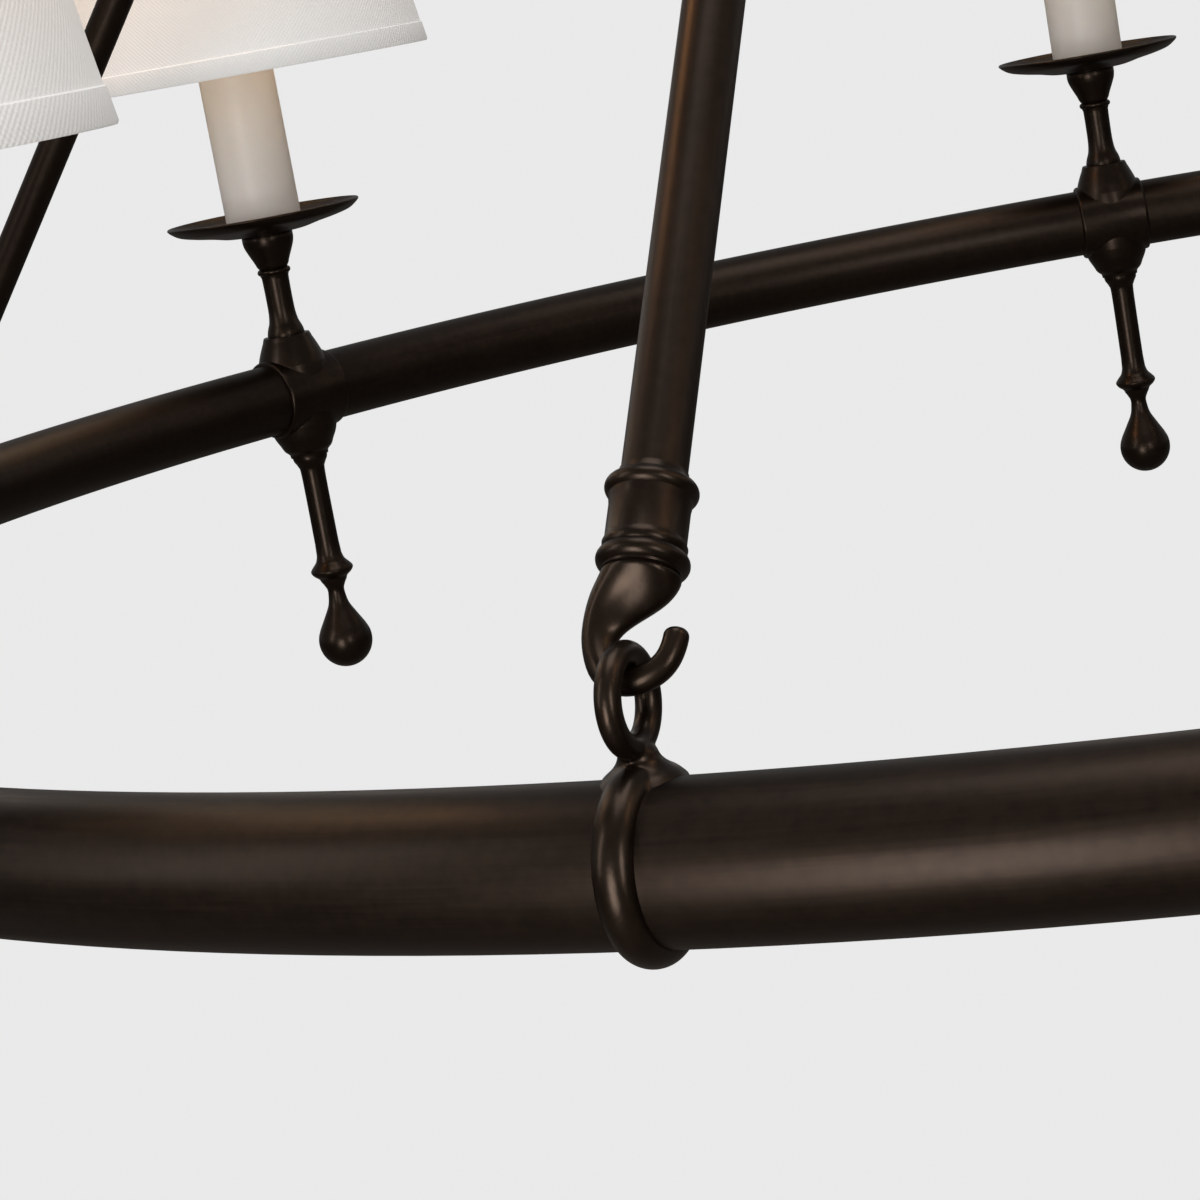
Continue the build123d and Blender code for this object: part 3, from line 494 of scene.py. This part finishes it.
def hook_loop(bm, section):
    """One circle laid across the hook's line. The scoop hollows one side of the horn."""
    (x, z), heading, half_width, half_depth, scoop = section
    out = Vector((sin(radians(heading)), 0, -cos(radians(heading))))
    verts = bmesh.ops.create_circle(bm, segments=section_sides, radius=1)["verts"]
    for v in verts:
        a = atan2(v.co.y, v.co.x)
        from_middle = abs((a - scoop_middle + pi) % (2 * pi) - pi)
        hollow = max(0.0, cos(min(from_middle * scoop_spread, pi / 2)))
        shrink = 1 - scoop * scoop_depth * hollow
        across = out * cos(a) * half_width * shrink
        v.co = (Vector((x, 0, z)) + across + Vector((0, sin(a) * half_depth * shrink, 0))) * mm
    return list({e for v in verts for e in v.link_edges})


def build_hook():
    bm = bmesh.new()
    loops = [hook_loop(bm, section) for section in hook_sections]
    for low, high in zip(loops, loops[1:]):
        bmesh.ops.bridge_loops(bm, edges=low + high)
    bmesh.ops.holes_fill(bm, edges=loops[0] + loops[-1], sides=0)
    bmesh.ops.recalc_face_normals(bm, faces=bm.faces)
    tip = Vector(hook_sections[0][0]).to_3d().xzy * mm
    near = tip_reach * mm
    tip_edges = [e for e in bm.edges if all((v.co - tip).length < near for v in e.verts)]
    bmesh.ops.bevel(bm, geom=tip_edges, offset=tip_round * mm, offset_type="OFFSET", segments=6,
                    profile=0.5, affect="EDGES", material=-1, clamp_overlap=True)
    bmesh.ops.recalc_face_normals(bm, faces=bm.faces)
    return bm


for number, angle in enumerate(rod_angles, 1):
    place = rod_place(angle)
    piece = finish_piece(copies(build_hook(), [place]), f"cast_hook_{number}", "frame",
                         cast_bronze, [f"rod_hook_{number}"], crease=70)
    soften = piece.modifiers.new("soften", "SUBSURF")
    soften.levels = soften.render_levels = 2
    lift = Matrix.Translation((0, 0, ferrule_start * mm))
    bm = copies(mark_grain(lathe(ferrule_profile, 96)), [place @ lift])
    finish_piece(bm, f"lower_ferrule_{number}", "frame", turned_bronze,
                 [f"rod_hook_{number}"])

# %% [markdown]
# The collar is one casting: a half-round band clamped round the tube, a flared foot and an upright
# eyelet. Three simple shapes overlap, a fine remesh makes them one skin, and smoothing rounds the
# inner corners as sand casting does.

# %% Eyelet collars
band_half_width = 3.3
band_proud = 2.7
eyelet_radius = 6.9
eyelet_wire = 2.05
eyelet_inward = 2.2
eyelet_height = 24.27
remesh_size = 0.3
remesh_smoothing = 12


def build_collar():
    tube = tube_radius / mm
    band_line = arc((0.0, 0.0), 1.0, 0, 180, 14)
    bm = lathe([(tube - 0.3, band_half_width)]
               + [(tube + band_proud * z, band_half_width * x) for x, z in band_line]
               + [(tube - 0.3, -band_half_width), (tube - 0.3, band_half_width)], 128)
    bmesh.ops.rotate(bm, verts=bm.verts, matrix=Matrix.Rotation(pi / 2, 3, "Y"))
    stem = lathe(curve_through([(0, tube - 1.5), (6.7, tube - 1.5), (6.0, tube + 0.3),
                                (4.3, tube + 1.6),
                                (3.3, tube + 2.8), (2.6, tube + 4.4), (0, tube + 4.6)]), 48)
    stem.transform(Matrix.Translation((0, eyelet_inward * mm, 0)))
    eye = bmesh.new()
    bmesh.ops.create_circle(eye, segments=24, radius=eyelet_wire * mm)
    bmesh.ops.translate(eye, verts=eye.verts, vec=(eyelet_radius * mm, 0, 0))
    bmesh.ops.spin(eye, geom=list(eye.verts) + list(eye.edges), cent=(0, 0, 0), axis=(0, 1, 0),
                   angle=2 * pi, steps=72, use_merge=True, use_duplicate=False)
    eye.transform(Matrix.Translation((0, eyelet_inward * mm, eyelet_height * mm))
                  @ Matrix.Rotation(pi / 2, 4, "Z"))
    for part in (stem, eye):
        step = bpy.data.meshes.new("step")
        bmesh.ops.recalc_face_normals(part, faces=part.faces)
        part.to_mesh(step)
        bm.from_mesh(step)
        part.free()
        bpy.data.meshes.remove(step)
    return bm


def remeshed(bm, size, smoothing):
    """The joined skin of overlapping shapes, smoothed where they meet."""
    mesh = bpy.data.meshes.new("step")
    bm.to_mesh(mesh)
    bm.free()
    block = bpy.data.objects.new("step", mesh)
    bpy.context.scene.collection.objects.link(block)
    skin = block.modifiers.new("skin", "REMESH")
    skin.mode = "VOXEL"
    skin.voxel_size = size * mm
    ease = block.modifiers.new("ease", "SMOOTH")
    ease.factor = 0.5
    ease.iterations = smoothing
    bpy.context.view_layer.update()
    graph = bpy.context.evaluated_depsgraph_get()
    baked = bpy.data.meshes.new_from_object(block.evaluated_get(graph))
    bpy.data.objects.remove(block)
    result = bmesh.new()
    result.from_mesh(baked)
    bpy.data.meshes.remove(baked)
    return result


collar_skin = remeshed(build_collar(), remesh_size, remesh_smoothing)
for number, angle in enumerate(rod_angles, 1):
    finish_piece(copies(collar_skin, [collar_place(angle)]), f"cast_collar_{number}", "frame",
                 cast_bronze, [f"eyelet_collar_{number}"], crease=80)
collar_skin.free()

# %% [markdown]
# Every lamp is a stack of turned pieces on one axis: ball and pendant below the boss, then column,
# drip pan and candle sleeve above it. Each kind is turned once and copied round the ring.

# %% Lamp turnings
boss_neck = (
    [(0, -23), (6.9, -23), (7.0, -22.2)]
    + curve_through([(7.2, -21.6), (8.7, -20.2), (9.7, -18.2), (11.3, -15.0), (12.4, -11.0)])
    + [(12.5, 0.0)]
    + curve_through([(12.5, 11.0), (11.4, 14.6), (10.2, 17.6), (9.0, 20.2)])
    + [(8.8, 20.9), (8.4, 21.8), (0, 21.8)]
)
sleeve_end = 13.0
boss_sleeve = ([(12.72, -sleeve_end)] + arc((13.1, -sleeve_end + 1.1), 1.1, -80, 0, 6)
               + arc((13.1, sleeve_end - 1.1), 1.1, 0, 80, 6) + [(12.72, sleeve_end)])
column = (
    [(0, 21.8), (6.7, 21.8), (6.75, 22.6), (6.5, 23.8)]
    + curve_through([(6.1, 25.0), (5.3, 27.2), (4.85, 31.0), (4.8, 38.0), (4.9, 43.2)])
    + arc((4.9, 45.4), 1.15, -70, 80, 8)
    + curve_through([(5.8, 47.6), (6.5, 49.4), (7.6, 51.8), (8.8, 54.6), (9.2, 56.2)])
    + [(9.3, 57.0), (9.3, 58.9), (9.1, 59.2), (0, 59.2)]
)
pendant = (
    [(0, -23), (6.3, -23), (6.35, -23.6)]
    + curve_through([(6.1, -24.6), (5.0, -26.6), (4.45, -29.0), (4.35, -40.0), (4.4, -56.0)])
    + curve_through([(4.6, -60.4), (5.3, -62.6), (6.8, -64.4), (7.7, -65.6), (7.7, -66.6),
                     (6.8, -67.8), (5.3, -69.0), (4.6, -70.5)])
    + [(0, -70.5)]
)
ball = (
    [(0, -70.5), (4.5, -70.5)]
    + curve_through([(4.0, -71.4), (3.1, -73.5), (3.2, -76.0), (3.9, -79.3), (5.8, -83.0),
                     (8.4, -87.6)])
    + arc((0, -93.0), 9.9, 20, -90, 16)
)
pan = curve_through([(3.9, 59.2), (10.0, 59.25), (14.5, 59.4), (20.0, 60.6), (26.0, 61.7),
                     (31.0, 63.0), (33.8, 64.7), (35.0, 65.9)])
pan += arc((34.5, 66.1), 0.55, -10, 150, 6)
pan += curve_through([(33.3, 65.6), (30.5, 64.1), (26.0, 62.9), (20.0, 61.9), (14.5, 60.6),
                      (10.0, 60.4), (3.9, 60.4)])
turn_over = Matrix.Rotation(pi / 2, 4, "X")
for name, profile, nodes, turn in (
    ("boss_necks", boss_neck, ["tube_bosses"], Matrix()),
    ("boss_sleeves", boss_sleeve, ["tube_bosses"], turn_over),
    ("turned_columns", column, ["columns"], Matrix()),
    ("turned_pendants", pendant, ["pendants"], Matrix()),
    ("ball_drops", ball, ["ball_finials"], Matrix()),
    ("spun_pans", pan, ["drip_pans"], Matrix()),
):
    bm = copies(mark_grain(lathe(profile, 72)), [lamp_place(a) @ turn for a in lamp_angles])
    finish_piece(bm, name, "frame", turned_bronze, nodes)

# %% [markdown]
# A candle sleeve is a plain thin tube that stands in the pan, with a rounded upper edge.

# %% Candle sleeves
sleeve = ([(12.0, 60.5), (13.5, 60.5), (13.6, 60.8), (13.6, 144.8)]
          + arc((13.1, 144.9), 0.5, 0, 90, 4) + [(12.4, 145.4), (12.0, 145.1), (12.0, 60.5)])
bm = copies(lathe(sleeve, 72), [lamp_place(a) for a in lamp_angles])
finish_piece(bm, "candle_tubes", "frame", candle_white, ["candle_sleeves"])

# %% [markdown]
# A shade is linen rolled over a wire at both edges. Its wall is a thin cone with a soft hem, and
# the thread directions are stored on it, so the weave keeps its size from top to bottom.

# %% Shades and bulbs
shade_low_radius, shade_high_radius = 70.0, 52.0
hem_height, hem_proud = 7.0, 0.35
shade_middle, shade_wall = (shade_low + shade_high) / 2, 0.85


def shade_radius(z):
    share = (z - shade_low) / (shade_high - shade_low)
    return shade_low_radius + (shade_high_radius - shade_low_radius) * share


def shade_profile():
    outer = []
    for z, proud in ((shade_low, -0.3), (shade_low + 0.5, 0.05),
                     (shade_low + hem_height - 0.3, 0.05),
                     (shade_low + hem_height, -hem_proud), (shade_middle, -hem_proud),
                     (shade_high - hem_height, -hem_proud), (shade_high - hem_height + 0.3, 0.05),
                     (shade_high - 0.5, 0.05), (shade_high, -0.3)):
        outer.append((shade_radius(z) + proud, z))
    inner = [(shade_radius(z) - shade_wall, z) for z in (shade_high, shade_middle, shade_low)]
    return outer + inner + outer[:1]


def build_shade():
    bm = lathe(shade_profile(), 128)
    layer = bm.verts.layers.float_vector.new("thread")
    for v in bm.verts:
        turn = atan2(v.co.y, v.co.x) * shade_low_radius / thread_gap * pi
        v[layer] = (turn, v.co.z / mm / thread_gap * pi, 0)
    return bm


bulb = (
    [(0, 125.6), (4.5, 125.6), (6.0, 127.6), (6.0, 145.6)]
    + curve_through([(7.6, 146.2), (8.6, 147.5), (11.8, 153.0), (15.6, 162.0), (17.5, 173.3),
                     (16.6, 184.0), (14.0, 194.0), (10.5, 203.3), (7.2, 211.0), (4.2, 218.0),
                     (1.6, 221.9), (0, 222.2)])
)
for number, angle in enumerate(lamp_angles, 1):
    place = Matrix.Translation(lamp_place(angle).translation)
    finish_piece(copies(build_shade(), [place]), f"linen_shade_{number}", f"shade_{number}",
                 shade_linen, [f"shade_{number}"])
    finish_piece(copies(lathe(bulb, 48), [place]), f"warm_bulb_{number}", f"bulb_{number}",
                 bulb_glow, [f"bulb_{number}"])

# %% [markdown]
# The other pieces already have their shape in the frame. A merged copy of each takes smooth
# normals, which the frame's loose triangles can't have, and then its own finish.

# %% Finished copies of the frame's pieces
def smooth_copy(node, material):
    bm = bmesh.new()
    bm.from_mesh(frame["nodes"][node].data)
    bmesh.ops.remove_doubles(bm, verts=bm.verts, dist=2e-6)
    bmesh.ops.dissolve_degenerate(bm, edges=bm.edges, dist=2e-6)
    body = next(b for b, names in frame["record"]["behaviour"]["bodies"].items() if node in names)
    return finish_piece(bm, f"{node}_finished", body, material, [node])


for node in ("canopy", "collar_ring", "canopy_loop", "hub", "hub_loop", "hub_finial",
             *(f"chain_link_{k}" for k in range(1, 5))):
    smooth_copy(node, cast_bronze)
for node in ("crossbar", "ceiling_nipple", "locknut", "lamp_nipples", "pan_nuts"):
    smooth_copy(node, zinc_steel)
smooth_copy("lampholders", holder_black)
for number in range(1, len(lamp_angles) + 1):
    smooth_copy(f"shade_frame_{number}", wire_brass)

# %% [markdown]
# The studio is a pale floor far below and an even pale sky, which only the camera sees so pale.
# Five lamps shape the metal: a tall box low in front for the band on the tube, one at each side for
# the rod's edges, a large soft one above, and a small warm one for the bulbs' light on the tube.

# %% Studio
floor_z = -1.62
floor_reach = 60.0
floor_glow = 0.82
sky_level, glossy_change, camera_change = 0.45, -0.24, 0.37
bm = bmesh.new()
bmesh.ops.create_circle(bm, cap_ends=True, segments=96, radius=floor_reach)
bmesh.ops.translate(bm, verts=bm.verts, vec=(0, 0, floor_z))
floor_mesh = bpy.data.meshes.new("floor")
bm.to_mesh(floor_mesh)
bm.free()
floor = bpy.data.objects.new("floor", floor_mesh)
bpy.context.scene.collection.objects.link(floor)
pale = bpy.data.materials.new("pale_floor")
pale.use_nodes = True
tree = pale.node_tree
shader = tree.nodes["Principled BSDF"]
shader.inputs["Base Color"].default_value = (0.14, 0.13, 0.12, 1)
shader.inputs["Roughness"].default_value = 1.0
shader.inputs["Specular IOR Level"].default_value = 0.0
glow = add_node(tree, "ShaderNodeEmission")
glow.inputs["Color"].default_value = (floor_glow, floor_glow, floor_glow, 1)
rays = add_node(tree, "ShaderNodeLightPath")
either = add_node(tree, "ShaderNodeMixShader")
link(tree, rays.outputs["Is Camera Ray"], either.inputs[0])
link(tree, shader.outputs[0], either.inputs[1])
link(tree, glow.outputs[0], either.inputs[2])
link(tree, either.outputs[0], tree.nodes["Material Output"].inputs["Surface"])
floor_mesh.materials.append(pale)

world = bpy.data.worlds.new("sky")
bpy.context.scene.world = world
world.use_nodes = True
tree = world.node_tree
sky = tree.nodes["Background"]
rays = add_node(tree, "ShaderNodeLightPath")
level = None
for ray, change in (("Is Glossy Ray", glossy_change), ("Is Camera Ray", camera_change)):
    step = add_node(tree, "ShaderNodeMath", operation="MULTIPLY_ADD")
    step.inputs[1].default_value = change
    step.inputs[2].default_value = sky_level
    link(tree, rays.outputs[ray], step.inputs[0])
    if level:
        link(tree, level.outputs[0], step.inputs[2])
    level = step
link(tree, level.outputs[0], sky.inputs["Strength"])
sky.inputs["Color"].default_value = (1, 1, 1, 1)

bpy.context.scene.view_settings.view_transform = "Standard"


def softbox(name, spot, aim, width, height, power, colour=(1, 1, 1)):
    light = bpy.data.lights.new(name, "AREA")
    light.shape = "RECTANGLE"
    light.size, light.size_y = width, height
    light.energy = power
    light.color = colour
    lamp = bpy.data.objects.new(name, light)
    bpy.context.scene.collection.objects.link(lamp)
    lamp.location = spot
    lamp.rotation_euler = (Vector(aim) - Vector(spot)).to_track_quat("-Z", "Y").to_euler()
    print(name, power, "W")


hero = (0.0, -ring_radius, ring_z)
softbox("tube_box", (-0.08, -1.6, -1.0), hero, 0.5, 0.8, 10)
softbox("right_box", (1.5, -1.5, -0.45), hero, 0.4, 0.9, 9)
softbox("left_box", (-1.3, -1.4, -0.1), hero, 0.3, 1.2, 5)
softbox("top_box", (0.3, -0.2, 1.6), hero, 1.6, 1.6, 22)
softbox("warm_box", (-0.77, -0.15, 0.13), (-0.1, -0.9, ring_z), 0.14, 0.14, 3.5, (1.0, 0.5, 0.2))
